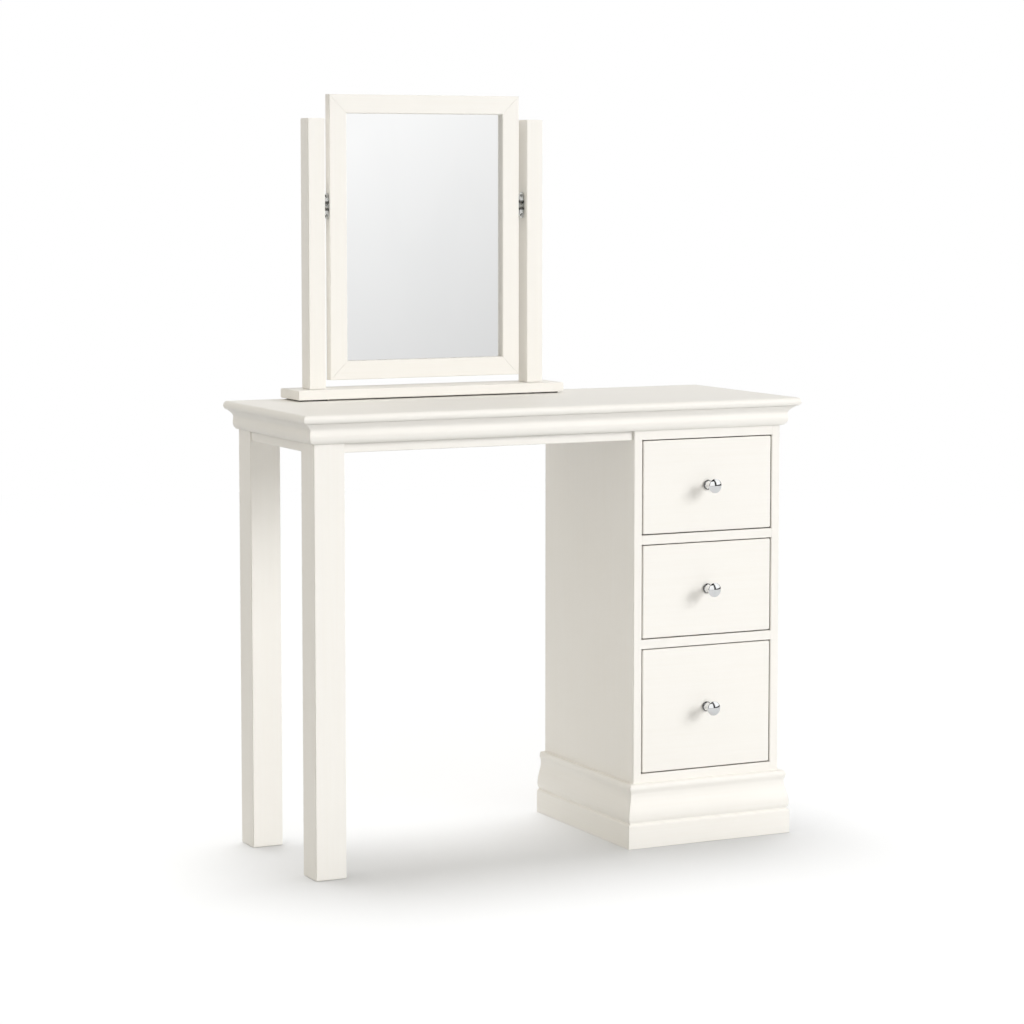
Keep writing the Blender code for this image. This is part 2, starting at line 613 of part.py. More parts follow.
def main():
    table = empty("table", (0.0, 0.0, 0.0))
    make_top(table)
    make_moulding("cornice", cornice_profile(), left_x, seat_z, table)
    make_moulding("plinth", plinth_profile(), pedestal_x, 0.0, table)
    make_carcass(table)
    make_drawer("top", upper_rail + BOARD_THICKNESS, TOP_DRAWER_OPENING, table)
    make_drawer("middle", lower_rail + BOARD_THICKNESS, MIDDLE_DRAWER_OPENING, table)
    make_drawer("bottom", bottom_top, BOTTOM_DRAWER_OPENING, table)
    make_stand(table)
    tilt = empty("mirror_tilt", (mirror_x, stand_y, stand_top + PIVOT_HEIGHT))
    tilt.parent = table
    make_mirror(tilt)
    make_pivots(table, tilt)


main()
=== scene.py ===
import math

import bmesh
import bpy
from mathutils import Matrix, Vector


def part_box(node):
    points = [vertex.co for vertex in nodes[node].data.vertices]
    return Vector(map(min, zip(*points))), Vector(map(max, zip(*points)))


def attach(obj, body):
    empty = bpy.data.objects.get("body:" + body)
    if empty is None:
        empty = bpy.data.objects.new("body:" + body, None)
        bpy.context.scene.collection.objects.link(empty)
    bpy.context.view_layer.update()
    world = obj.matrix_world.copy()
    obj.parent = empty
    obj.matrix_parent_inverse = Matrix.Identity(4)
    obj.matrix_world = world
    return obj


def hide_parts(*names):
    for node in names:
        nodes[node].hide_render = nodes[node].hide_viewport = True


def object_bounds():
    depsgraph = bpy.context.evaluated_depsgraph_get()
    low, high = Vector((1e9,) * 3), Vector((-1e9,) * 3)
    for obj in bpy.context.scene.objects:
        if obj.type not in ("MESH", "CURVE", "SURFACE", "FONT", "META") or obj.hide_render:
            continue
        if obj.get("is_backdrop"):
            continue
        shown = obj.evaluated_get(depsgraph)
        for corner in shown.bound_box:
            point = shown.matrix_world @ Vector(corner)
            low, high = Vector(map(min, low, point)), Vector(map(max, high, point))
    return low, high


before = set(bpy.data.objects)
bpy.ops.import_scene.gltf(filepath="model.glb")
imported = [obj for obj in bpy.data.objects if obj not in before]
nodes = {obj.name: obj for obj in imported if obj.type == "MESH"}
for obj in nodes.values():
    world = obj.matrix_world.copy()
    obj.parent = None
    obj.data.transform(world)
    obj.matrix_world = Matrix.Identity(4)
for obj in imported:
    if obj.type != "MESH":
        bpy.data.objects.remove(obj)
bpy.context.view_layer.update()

print("frame loaded,", len(nodes), "nodes")


class Wire:  # a shader socket that sums can be written with
    def __init__(self, tree, socket=None):
        self.tree = tree
        self.socket = socket

    def add(self, kind, settings, inputs, out=0):
        node = self.tree.nodes.new("ShaderNode" + kind)
        for key, value in settings.items():
            setattr(node, key, value)
        for key, value in inputs.items():
            if isinstance(value, Wire):
                self.tree.links.new(value.socket, node.inputs[key])
            else:
                node.inputs[key].default_value = value
        return Wire(self.tree, node.outputs[out])

    def beside(self, out):  # another output of the same node
        return Wire(self.tree, self.socket.node.outputs[out])

    def maths(self, operation, first, second=0.0):
        return self.add("Math", {"operation": operation}, {0: first, 1: second})

    def __add__(self, other):
        return self.maths("ADD", self, other)

    def __radd__(self, other):
        return self.maths("ADD", other, self)

    def __sub__(self, other):
        return self.maths("SUBTRACT", self, other)

    def __rsub__(self, other):
        return self.maths("SUBTRACT", other, self)

    def __mul__(self, other):
        return self.maths("MULTIPLY", self, other)

    def __rmul__(self, other):
        return self.maths("MULTIPLY", other, self)

    def __pow__(self, other):
        return self.maths("POWER", self, other)

    def __rpow__(self, other):
        return self.maths("POWER", other, self)

    def blend(self, first, second):  # self is the factor between two colours
        ends = [end if isinstance(end, Wire) else (*end, 1.0) for end in (first, second)]
        return self.add("Mix", {"data_type": "RGBA"}, {0: self, 6: ends[0], 7: ends[1]}, out=2)

    def span(self, low, high):  # 0 below low, 1 above high
        return self.add("MapRange", {}, {"Value": self, "From Min": low, "From Max": high})

    def window(self, low, high, soft):  # 1 between low and high, with soft borders
        return self.span(low - soft, low + soft) * (1 - self.span(high - soft, high + soft))

    def most(self, other):
        return self.maths("MAXIMUM", self, other)


def newFinish(name):
    made = bpy.data.materials.new(name)
    made.use_nodes = True
    return made, made.node_tree.nodes["Principled BSDF"], Wire(made.node_tree)


def feed(shader, values):
    for key, value in values.items():
        if isinstance(value, Wire):
            value.tree.links.new(value.socket, shader.inputs[key])
        else:
            shader.inputs[key].default_value = value


def stretched(start, axis, along, across):  # object coordinates, drawn out along one axis
    place = start.add("TexCoord", {}, {}, out="Object")
    scale = [across] * 3
    scale[axis] = along
    return start.add("VectorMath", {"operation": "MULTIPLY"}, {0: place, 1: scale})


def noise(start, place, scale, detail=3.0, roughness=0.55, distortion=0.0):
    return start.add("TexNoise", {}, {"Vector": place, "Scale": scale, "Detail": detail,
                                      "Roughness": roughness, "Distortion": distortion})


def relief(start, height, strength, distance):
    return start.add("Bump", {}, {"Height": height, "Strength": strength, "Distance": distance})


seatGap = 0.0003  # between pieces that touch, as in the CAD
frontY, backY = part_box("pedestal_side_left")[0].y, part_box("pedestal_side_left")[1].y
leftX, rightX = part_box("leg_front_left")[0].x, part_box("pedestal_side_right")[1].x
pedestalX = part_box("pedestal_side_left")[0].x
bayLeft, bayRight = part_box("pedestal_side_left")[1].x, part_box("pedestal_side_right")[0].x

woodLook = {
    "pale": (0.74, 0.58, 0.39),
    "dark": (0.50, 0.33, 0.17),
    "rings": 34.0,                    # per metre across the grain
    "ringsDrawn": 0.10,               # share of that along the grain
    "bends": (1.6, 7.0),              # of the grain, per metre along and across
    "bending": 5.0,
    "lateSharp": 3.0,                 # thins the late wood to dark lines
    "fibres": (9.0, 700.0),
    "fibreSpan": (0.35, 0.80),
    "shares": (0.42, 0.38, 0.15),     # of late wood, fibres and bends in the dark tone
    "lateSunk": 0.4,
    "roughness": 0.55, "roughVary": 0.14,
    "bump": 0.5, "relief": 0.00030,
    "gloss": 0.35,
}


def woodTone(start, axis):  # colour, fibres and late wood of a board that runs along an axis
    look = woodLook
    bends = noise(start, stretched(start, axis, *look["bends"]), 1.0, 2.0)
    rings = start.add("TexWave", {"wave_type": "RINGS", "rings_direction": "XYZ"[axis]},
                      {"Vector": stretched(start, axis, look["ringsDrawn"], 1.0), "Scale": look["rings"],
                       "Distortion": look["bending"] * bends, "Detail": 2.0, "Detail Scale": 1.2})
    late = rings.beside("Fac") ** look["lateSharp"]
    fibres = noise(start, stretched(start, axis, *look["fibres"]), 1.0, 4.0, 0.65)
    lateShare, fibreShare, bendShare = look["shares"]
    tone = late * lateShare + fibres.span(*look["fibreSpan"]) * fibreShare + bends * bendShare
    return tone.blend(look["pale"], look["dark"]), fibres, late


def makeWood(axis):
    made, shader, start = newFinish("drawerWood" + "XYZ"[axis])
    look = woodLook
    colour, fibres, late = woodTone(start, axis)
    feed(shader, {
        "Base Color": colour,
        "Roughness": look["roughness"] + look["roughVary"] * (fibres - 0.5),
        "Normal": relief(start, fibres - look["lateSunk"] * late, look["bump"], look["relief"]),
        "Specular IOR Level": look["gloss"],
    })
    return made


paintLook = {
    "light": (0.940, 0.920, 0.880),
    "warm": (0.912, 0.884, 0.832),    # where the grain shows through
    "streaks": (5.0, 260.0),          # grain, per metre along and across
    "streakSpan": (0.42, 0.72),
    "pores": (22.0, 900.0),
    "poreSpan": (0.60, 0.78),
    "clouds": 4.0,                    # per metre
    "cloudSpan": (0.35, 0.75),
    "pebble": 420.0,                  # of the sprayed coat, per metre
    "shares": (0.40, 0.25, 0.18),     # of streaks, clouds and pores in the warm tone
    "heights": (0.45, 0.35, 0.5),     # of streaks, pebble and pores in the relief
    "roughness": 0.44, "roughVary": (0.10, 0.08),
    "bump": 0.35, "relief": 0.00020,
    "gloss": 0.32,
    "bareFrom": (0.0015, 0.0025),     # behind the front edge, inside the drawer case
    "bareRough": 0.12,
    "gapShade": (0.020, 0.026),            # as far as the drawer fronts reach in, the wood is painted darker: painted shade in the gaps round the drawers
    "gapShadeTone": (0.36, 0.33, 0.29),
}


def makePaint(axis, bare=False):  # bare: unpainted wood inside the drawer case
    made, shader, start = newFinish(("carcass" if bare else "whitePaint") + "XYZ"[axis])
    look = paintLook
    plain = stretched(start, axis, 1.0, 1.0)
    streaks = noise(start, stretched(start, axis, *look["streaks"]), 1.0, 5.0, 0.6, 0.4)
    pores = noise(start, stretched(start, axis, *look["pores"]), 1.0, 2.0).span(*look["poreSpan"])
    clouds = noise(start, plain, look["clouds"], 2.0)
    pebble = noise(start, plain, look["pebble"], 2.0)
    streakShare, cloudShare, poreShare = look["shares"]
    shows = streaks.span(*look["streakSpan"]) * streakShare + clouds.span(*look["cloudSpan"]) * cloudShare
    colour = (shows + pores * poreShare).blend(look["light"], look["warm"])
    streakHigh, pebbleHigh, poreDeep = look["heights"]
    height = streakHigh * streaks + pebbleHigh * pebble - poreDeep * pores
    streakRough, cloudRough = look["roughVary"]
    rough = look["roughness"] + streakRough * (streaks - 0.5) + cloudRough * (clouds - 0.5)
    if bare:
        axes = start.add("SeparateXYZ", {}, {0: plain})
        within = axes.window(bayLeft - seatGap, bayRight + seatGap, seatGap / 2)
        inside = within * axes.beside("Y").span(*(frontY + part for part in look["bareFrom"]))
        # painted shade: the bare wood nearest the front takes the darker gap tone
        deep = axes.beside("Y").span(*(frontY + part for part in look["gapShade"]))
        wooden, fibres, late = woodTone(start, axis)
        colour = inside.blend(colour, deep.blend(look["gapShadeTone"], wooden))
        rough = rough + look["bareRough"] * inside
        height = height + inside * (fibres - woodLook["lateSunk"] * late)
    feed(shader, {
        "Base Color": colour,
        "Roughness": rough,
        "Normal": relief(start, height, look["bump"], look["relief"]),
        "Specular IOR Level": look["gloss"],
    })
    return made


boardLook = {
    "face": (0.36, 0.245, 0.145),
    "fibre": (0.56, 0.42, 0.27),
    "mesh": 720.0,                    # pressed screen pattern, in radians per metre
    "specks": 900.0,
    "speckSpan": (0.48, 0.75),
    "hairs": (180.0, 900.0),
    "hairSpan": (0.5, 0.75),
    "clouds": 14.0,
    "shares": (0.5, 0.35, 0.2),       # of specks, hairs and clouds in the fibre's tone
    "heights": (0.6, 0.5),            # of mesh and specks in the relief
    "roughness": 0.72, "roughVary": 0.15,
    "bump": 0.35, "relief": 0.00025,
    "gloss": 0.3,
}


def makeHardboard():
    made, shader, start = newFinish("hardboard")
    look = boardLook
    plain = stretched(start, 0, 1.0, 1.0)
    specks = noise(start, plain, look["specks"], 4.0, 0.7)
    hairs = noise(start, stretched(start, 0, *look["hairs"]), 1.0, 3.0, 0.6, 1.5)
    clouds = noise(start, plain, look["clouds"], 3.0)
    axes = start.add("SeparateXYZ", {}, {0: plain})
    mesh = start.maths("SINE", axes * look["mesh"]) * start.maths("SINE", axes.beside("Z") * look["mesh"])
    speckShare, hairShare, cloudShare = look["shares"]
    shows = specks.span(*look["speckSpan"]) * speckShare + hairs.span(*look["hairSpan"]) * hairShare
    meshHigh, speckHigh = look["heights"]
    feed(shader, {
        "Base Color": (shows + clouds * cloudShare).blend(look["face"], look["fibre"]),
        "Roughness": look["roughness"] + look["roughVary"] * (specks - 0.5),
        "Normal": relief(start, meshHigh * mesh + speckHigh * specks, look["bump"], look["relief"]),
        "Specular IOR Level": look["gloss"],
    })
    return made


chromeLook = {
    "metal": (0.92, 0.925, 0.93),
    "haze": (0.83, 0.835, 0.84),
    "smudges": 160.0,
    "smudgeSpan": (0.48, 0.78),
    "smudgeShare": 0.6,
    "turning": (3000.0, 300.0),       # marks round the knob's axis
    "roughness": 0.035, "roughVary": (0.05, 0.02),
    "bump": 0.05, "relief": 0.00002,
    "shades": {"knobChrome": 1.0, "shadedRimChrome": 0.24},  # the flange's rim is painted darker: painted shade
}


def makeChrome(name):
    made, shader, start = newFinish(name)
    look = chromeLook
    smudges = noise(start, stretched(start, 0, 1.0, 1.0), look["smudges"], 3.0).span(*look["smudgeSpan"])
    turning = noise(start, stretched(start, 1, *look["turning"]), 1.0, 3.0)
    metal, haze = ([part * look["shades"][name] for part in look[key]] for key in ("metal", "haze"))
    smudgeRough, turningRough = look["roughVary"]
    feed(shader, {
        "Base Color": (smudges * look["smudgeShare"]).blend(metal, haze),
        "Metallic": 1.0,
        "Roughness": look["roughness"] + smudgeRough * smudges + turningRough * turning,
        "Normal": relief(start, turning, look["bump"], look["relief"]),
    })
    return made


steelLook = {
    "metal": (0.78, 0.785, 0.765),
    "dull": (0.50, 0.505, 0.48),
    "rubs": (120.0, 2400.0),          # fine lines, per metre along and across
    "stains": 240.0,
    "stainSpan": (0.4, 0.75),
    "shares": (0.55, 0.25),           # of stains and rubs in the dull tone
    "roughness": 0.20, "roughVary": (0.16, 0.08),
    "bump": 0.12, "relief": 0.00004,
    "pivotShade": (0.10, 0.10, 0.09),
    "pivotShadeBand": (0.0042, 0.0085),        # painted shade above and below the pivot
    "pivotShadeSoft": 0.0006,
    "shades": {"buttonSteel": 0.90, "plateSteel": 0.85, "screwSteel": 1.20,
               "recessSteel": 0.02},  # in the shade of a screw's cross
}


def makeSteel(name, pivotZ=None):  # pivotZ: above and below it a plate is painted dark, as painted shade round the pivot boss
    made, shader, start = newFinish(name)
    look = steelLook
    plain = stretched(start, 2, 1.0, 1.0)
    rubs = noise(start, stretched(start, 2, *look["rubs"]), 1.0, 3.0, 0.6)
    stains = noise(start, plain, look["stains"], 3.0).span(*look["stainSpan"])
    metal, dull = ([part * look["shades"][name] for part in look[key]] for key in ("metal", "dull"))
    stainShare, rubShare = look["shares"]
    colour = (stainShare * stains + rubShare * rubs).blend(metal, dull)
    if pivotZ is not None:
        height = start.add("SeparateXYZ", {}, {0: plain}).beside("Z")
        # painted shade: a dark band above and below the pivot
        pivotShadeBand = start.maths("ABSOLUTE", height - pivotZ).window(*look["pivotShadeBand"], look["pivotShadeSoft"])
        colour = pivotShadeBand.blend(colour, look["pivotShade"])
    stainRough, rubRough = look["roughVary"]
    feed(shader, {
        "Base Color": colour,
        "Metallic": 1.0,
        "Roughness": look["roughness"] + stainRough * stains + rubRough * (rubs - 0.5),
        "Normal": relief(start, rubs, look["bump"], look["relief"]),
    })
    return made


glassLook = {
    "silver": (0.952, 0.956, 0.955),
    "film": (0.939, 0.944, 0.943),    # what a cloth leaves
    "wipes": (5.0, 9.0),
    "wipeSpan": (0.45, 0.75),
}


def makeMirrorGlass():
    made, shader, start = newFinish("silveredGlass")
    look = glassLook
    wipes = noise(start, stretched(start, 2, *look["wipes"]), 1.0, 3.0, 0.5, 0.8)
    feed(shader, {
        "Base Color": wipes.span(*look["wipeSpan"]).blend(look["silver"], look["film"]),
        "Metallic": 1.0,
        "Roughness": 0.0,
    })
    return made


feltLook = {
    "dark": (0.035, 0.033, 0.031),
    "pale": (0.105, 0.100, 0.094),
    "fuzz": 1600.0,
    "tufts": 300.0,
    "shares": (0.7, 0.3),             # of fuzz and tufts in the pale tone
    "span": (0.35, 0.75),
    "roughness": 0.90, "roughVary": 0.08,
    "tuftHigh": 0.5,
    "bump": 0.8, "relief": 0.0006,
}


def makeFelt():
    made, shader, start = newFinish("padFelt")
    look = feltLook
    plain = stretched(start, 0, 1.0, 1.0)
    fuzz = noise(start, plain, look["fuzz"], 4.0, 0.7, 0.6)
    tufts = noise(start, plain, look["tufts"], 3.0)
    fuzzShare, tuftShare = look["shares"]
    shows = (fuzzShare * fuzz + tuftShare * tufts).span(*look["span"])
    feed(shader, {
        "Base Color": shows.blend(look["dark"], look["pale"]),
        "Roughness": look["roughness"] + look["roughVary"] * fuzz,
        "Normal": relief(start, fuzz + look["tuftHigh"] * tufts, look["bump"], look["relief"]),
    })
    return made


paint = [makePaint(axis) for axis in range(3)]
carcass = {axis: makePaint(axis, True) for axis in (0, 2)}
wood = [makeWood(axis) for axis in range(3)]
hardboard = makeHardboard()
chrome, shadedRimChrome = makeChrome("knobChrome"), makeChrome("shadedRimChrome")
buttonSteel, screwSteel = makeSteel("buttonSteel"), makeSteel("screwSteel")
recessSteel = makeSteel("recessSteel")
plateSteel = makeSteel("plateSteel", sum(end.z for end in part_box("pivot_plate_mirror_left")) / 2)
mirrorGlass = makeMirrorGlass()
felt = makeFelt()
print("finishes made,", len(bpy.data.materials), "materials")


def longAxis(name):  # the grain runs along the longest side of a board
    low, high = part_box(name)
    sides = list(high - low)
    return sides.index(max(sides))


def finishOf(name):
    if name.startswith("drawer_"):
        if name.endswith("front"):
            return paint[0]
        if name.endswith("knob"):
            return chrome
        return wood[longAxis(name)]
    if name.startswith("runner_"):
        return wood[longAxis(name)]
    if name.startswith("pivot_"):
        return plateSteel
    if name.startswith("stand_pad"):
        return felt
    if name in ("pedestal_back", "mirror_backboard"):
        return hardboard
    if name == "mirror_glass":
        return mirrorGlass
    if name.startswith("pedestal_side"):
        return carcass[2]
    if name.startswith("rail_") or name == "pedestal_bottom":
        return carcass[0]
    return paint[longAxis(name)]


for name, node in nodes.items():
    node.data.materials.clear()
    node.data.materials.append(finishOf(name))
print("CAD nodes dressed")


def newPiece(name, shape, material, body, stands=(), smooth=32.0, second=None):
    bmesh.ops.recalc_face_normals(shape, faces=shape.faces)
    mesh = bpy.data.meshes.new(name)
    shape.to_mesh(mesh)
    shape.free()
    mesh.shade_smooth()
    mesh.set_sharp_from_angle(angle=math.radians(smooth))
    mesh.materials.append(material)
    if second:
        mesh.materials.append(second)
    made = bpy.data.objects.new(name, mesh)
    bpy.context.scene.collection.objects.link(made)
    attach(made, body)
    if stands:
        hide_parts(*stands)


def arcPoints(centre, radii, start, end, steps):
    turns = [math.radians(start + (end - start) * step / steps) for step in range(steps + 1)]
    return [(centre[0] + radii[0] * math.cos(turn), centre[1] + radii[1] * math.sin(turn))
            for turn in turns]


# from one projection to another, as an S or, with half the turn, as half of one
def sweepPoints(near, far, baseZ, tall, steps, turn=math.pi):
    line = []
    for step in range(1, steps + 1):
        share = (1 - math.cos(turn * step / steps)) / (1 - math.cos(turn))
        line.append((near + (far - near) * share, baseZ + tall * step / steps))
    return line


def loft(shape, loops):  # quads between closed loops of points, with both ends shut
    rows = [[shape.verts.new(point) for point in loop] for loop in loops]
    for lower, upper in zip(rows, rows[1:]):
        for here in range(len(lower)):
            shape.faces.new((lower[here - 1], lower[here], upper[here], upper[here - 1]))
    shape.faces.new(rows[0])
    shape.faces.new(rows[-1])


topLook = {"steps": 40, "backEase": 0.0010, "easeFrom": 0.86}  # easeFrom: share of the half thickness


def makeTop():
    low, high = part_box("table_top")
    radius = (high.z - low.z) / 2
    middle = (high.z + low.z) / 2
    shape = bmesh.new()
    loops = []
    for inset, rise in arcPoints((radius, 0.0), (-radius, radius), -90, 90, topLook["steps"]):
        eased = max(0.0, abs(rise) / radius - topLook["easeFrom"]) / (1 - topLook["easeFrom"])
        back = high.y - topLook["backEase"] * eased
        corners = ((low.x + inset, low.y + inset), (high.x - inset, low.y + inset),
                   (high.x - inset, back), (low.x + inset, back))
        loops.append([(x, y, middle + rise) for x, y in corners])
    loft(shape, loops)
    newPiece("tableTop", shape, paint[0], "table", ["table_top"], smooth=25.0)


makeTop()

corniceLook = {
    "out": 0.021, "ovoloOut": 0.011, "ovoloTall": 0.0135, "swellTall": 0.009, "waist": 0.010,
    "coveTall": 0.0125, "steps": 18,
}
plinthLook = {
    "out": 0.0165, "blockTall": 0.043, "blockRound": 0.004, "quirkDeep": 0.0045, "quirkTall": 0.0025,
    "torusOut": 0.0033, "torusTall": 0.0095, "cymaTall": 0.0395, "waist": 0.0083, "hollowTall": 0.0105,
    "noseOut": 0.011, "noseTall": 0.007, "ledge": 0.007, "steps": 12,
}


def corniceOutline():
    look = corniceLook
    steps = look["steps"]
    swellZ = look["ovoloTall"]
    coveZ = swellZ + look["swellTall"]
    topZ = coveZ + look["coveTall"]
    line = arcPoints((seatGap, swellZ), (look["ovoloOut"] - seatGap, swellZ), -90, 0, steps)
    line += sweepPoints(look["ovoloOut"], look["waist"], swellZ, look["swellTall"], steps)
    line += sweepPoints(look["waist"], look["out"], coveZ, look["coveTall"], steps, math.pi / 2)
    line.append((seatGap, topZ))
    return [(out, up - topZ) for out, up in line]


def plinthOutline():
    look = plinthLook
    steps = look["steps"]
    quirk = look["out"] - look["quirkDeep"]
    torusZ = look["blockTall"] + look["quirkTall"] + look["torusTall"]
    waistZ = torusZ + look["cymaTall"]
    noseZ = waistZ + look["hollowTall"]
    noseRadii = (look["noseOut"] - look["ledge"], look["noseTall"])
    line = [(seatGap, 0.0), (look["out"], 0.0)]
    line += arcPoints((look["out"] - look["blockRound"], look["blockTall"] - look["blockRound"]),
                      (look["blockRound"],) * 2, 0, 90, steps)
    line += arcPoints((quirk, torusZ), (look["torusOut"], look["torusTall"]), -90, 0, steps)
    line += sweepPoints(quirk + look["torusOut"], look["waist"], torusZ, look["cymaTall"], 2 * steps)
    line += sweepPoints(look["waist"], look["noseOut"], waistZ, look["hollowTall"], steps)
    line += arcPoints((look["ledge"], noseZ), noseRadii, 0, 90, steps)[1:]
    return line + [(seatGap, noseZ + look["noseTall"])]


def makeMoulding(name, outline, startX, z, stands=True):  # strips on front and ends, mitred at the corners
    lap = seatGap / math.sqrt(2)
    shape = bmesh.new()
    loft(shape, [[(x + way * (out - lap), frontY - out, z + up) for out, up in outline]
                 for x, way in ((startX, -1), (rightX, 1))])
    newPiece(name + "Front", shape, paint[0], "table", [name + "_front"] if stands else ())
    for side, x, way in (("Left", startX, -1), ("Right", rightX, 1)):
        shape = bmesh.new()
        loft(shape, [[(x + way * out, frontY - out + lap, z + up) for out, up in outline],
                     [(x + way * out, backY, z + up) for out, up in outline]])
        replaced = [f"{name}_{side.lower()}"] if stands else ()
        newPiece(name + side, shape, paint[1], "table", replaced)


makeMoulding("cornice", corniceOutline(), leftX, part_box("cornice_front")[1].z)
makeMoulding("plinth", plinthOutline(), pedestalX, 0.0)
print("top and mouldings made")

fillLook = {
    "bead": 0.0011, "steps": 5,
    "reach": 0.0011, "deep": 0.0011, "dip": 0.00022,
    "shares": ((1, 0.5), (1 / 2, 0.45), (1 / 6, 0.8)),  # of reach and dip, from the edge to the joint
}


def makePlinthBead():  # a hollow bead of filler between the plinth's ledge and the pedestal
    size = fillLook["bead"]
    line = [(-seatGap, -seatGap), (size, -seatGap)]
    line += arcPoints((size, size), (size - seatGap / 2, size - seatGap / 2), 270, 180, fillLook["steps"])
    line.append((-seatGap, size))
    makeMoulding("plinthBead", line, pedestalX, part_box("plinth_front")[1].z + seatGap / 2, False)


def makeJointFill(name, jointX, lowZ, highZ):  # paint that bridges the joint of a rail and a side
    look = fillLook
    reach, dip, deep = look["reach"], look["dip"], look["deep"]
    half = [(across * reach, down * dip) for across, down in look["shares"]]
    line = [(-x, y) for x, y in half] + [(0.0, dip)] + half[::-1] + [(reach, deep), (-reach, deep)]
    shape = bmesh.new()
    loft(shape, [[(jointX + x, frontY + y, z) for x, y in line] for z in (lowZ, highZ)])
    newPiece(name, shape, paint[2], "table", smooth=60.0)


makePlinthBead()
for rail in ("rail_top", "rail_upper", "rail_lower", "pedestal_bottom"):
    low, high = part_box(rail)
    for side, jointX in (("left", bayLeft), ("right", bayRight)):
        makeJointFill(f"jointFill.{rail}.{side}", jointX, low.z + 2 * seatGap, high.z - 2 * seatGap)
print("joints filled")

knobLook = {
    "out": 0.032, "head": 0.013, "rim": 0.0022, "neck": 0.005,
    "slope": 38.0,                    # of the dome where it meets the rim, in degrees
    "flange": 0.0088, "flangeThick": 0.0032, "flangeRound": 0.0013, "flangeBack": 0.0009,
    "rimShadeTall": 0.0037,               # below this the flange takes the darker chrome: painted shade
    "steps": 10, "turns": 72,
}


def knobOutline():  # radius and height, from the drawer front outwards
    look = knobLook
    steps = look["steps"]
    slope = math.radians(look["slope"])
    dome = (look["head"] - look["rim"]) / math.sin(slope) + look["rim"]
    rimZ = look["out"] - dome * (1 - math.cos(slope)) - look["rim"] * math.cos(slope)
    underZ = rimZ - look["rim"]
    neckZ = (look["flangeThick"] + underZ) / 2
    flangeTop = look["flange"] - look["flangeRound"]
    headUnder = look["head"] - look["rim"]
    back, thick, neck = look["flangeBack"], look["flangeThick"], look["neck"]
    line = arcPoints((look["flange"] - back, back), (back, back), -90, 0, steps)
    line += arcPoints((flangeTop, thick - look["flangeRound"]), (look["flangeRound"],) * 2, 0, 90, steps)
    line += arcPoints((flangeTop, neckZ), (flangeTop - neck, neckZ - thick), 270, 180, steps)[1:]
    line += arcPoints((headUnder, neckZ), (headUnder - neck, underZ - neckZ), 180, 90, steps)[1:]
    line += arcPoints((headUnder, rimZ), (look["rim"],) * 2, -90, 90 - look["slope"], steps)[1:]
    line += arcPoints((0.0, look["out"] - dome), (dome, dome), 90 - look["slope"], 90, 2 * steps)[1:-1]
    return line


def stood(shape, place, axis, along=None):  # turns a shape's Z to axis, and its X to along, then moves it
    up = Vector(axis)
    if along is None:
        turn = up.to_track_quat("Z", "Y").to_matrix()
    else:
        first = Vector(along)
        turn = Matrix((first, up.cross(first), up)).transposed()
    bmesh.ops.transform(shape, matrix=Matrix.Translation(place) @ turn.to_4x4(), verts=shape.verts)
    return shape


def turned(outline, turns, place, axis):  # a lathe form, standing at place along axis
    shape = bmesh.new()
    spin = [math.tau * step / turns for step in range(turns)]
    loft(shape, [[(r * math.cos(a), r * math.sin(a), h) for a in spin] for r, h in outline])
    return stood(shape, place, axis)


screwLook = {                         # shares of the head's radius and height
    "turns": 24,
    "rings": ((0.97, 0.0), (1.0, 0.25), (0.93, 0.62), (0.78, 0.86), (0.58, 1.0)),
    "arm": 0.56, "web": 0.20, "deep": 0.62, "taper": 0.8,
    "shade": 0.616,                   # the cross and the flat round it are in the shade
}


def screwShape(radius, tall, place, axis):  # a low cross head
    look = screwLook
    arm, web = look["arm"] * radius, look["web"] * radius
    corner = [(arm, 0), (arm, web), ((arm + web) / 2, web), (web, web), (web, (arm + web) / 2), (web, arm)]
    cross = []
    for quarter in range(4):
        for x, y in corner:
            for _ in range(quarter):
                x, y = -y, x
            cross.append((x, y))
    spin = [math.tau * step / look["turns"] for step in range(look["turns"])]
    rings = [(wide * radius, up * tall) for wide, up in look["rings"]]
    loops = [[(r * math.cos(a), r * math.sin(a), h) for a in spin] for r, h in rings]
    loops.append([(x, y, tall) for x, y in cross])
    loops.append([(x * look["taper"], y * look["taper"], tall * (1 - look["deep"])) for x, y in cross])
    shape = bmesh.new()
    loft(shape, loops)
    for face in shape.faces:
        low = min(vert.co.z for vert in face.verts)
        wide = max(vert.co.xy.length for vert in face.verts)
        if low > 0 and wide < look["shade"] * radius:
            face.material_index = 1
    return stood(shape, place, axis)


def screw(name, radius, tall, place, axis, body):
    shape = screwShape(radius, tall, place, axis)
    newPiece(name, shape, screwSteel, body, smooth=40.0, second=recessSteel)


drawerScrew = {
    "washer": 0.0065, "washerThick": 0.0012, "hole": 0.0022, "turns": 36,
    "head": 0.0042, "tall": 0.0026,
}

